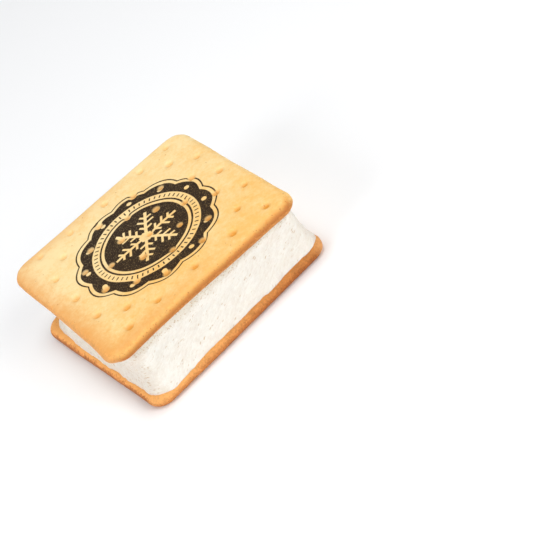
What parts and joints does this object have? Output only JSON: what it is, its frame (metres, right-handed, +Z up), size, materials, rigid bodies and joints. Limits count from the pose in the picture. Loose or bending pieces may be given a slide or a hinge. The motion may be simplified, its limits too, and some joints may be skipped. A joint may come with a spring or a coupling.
{
  "type": "ice cream sandwich",
  "caption": "Square ice cream sandwich: a slab of vanilla ice cream held between docked golden biscuits, the upper one printed with a plain dark emblem.",
  "frame": {"origin": "under the middle of the bounding box, on the surface that the lower biscuit rests on", "axes": "+Z up through the layers; +X and +Y along the biscuits' sides, with the lower biscuit square to them and the upper one turned by about 3 degrees"},
  "size_m": [0.0788, 0.0798, 0.028],
  "materials": {
    "biscuit_bottom": "baked biscuit, browner than the upper one, matt and slightly grainy",
    "ice_cream": "hard frozen vanilla ice cream, off-white, matt, with faint streaks and small pits",
    "biscuit_top": "pale golden baked biscuit with docking dimples, a browner rim and a dark printed emblem, matt"
  },
  "bodies": {
    "root": {"biscuit_bottom": "biscuit_bottom", "ice_cream": "ice_cream", "biscuit_top": "biscuit_top"}
  },
  "joints": []
}
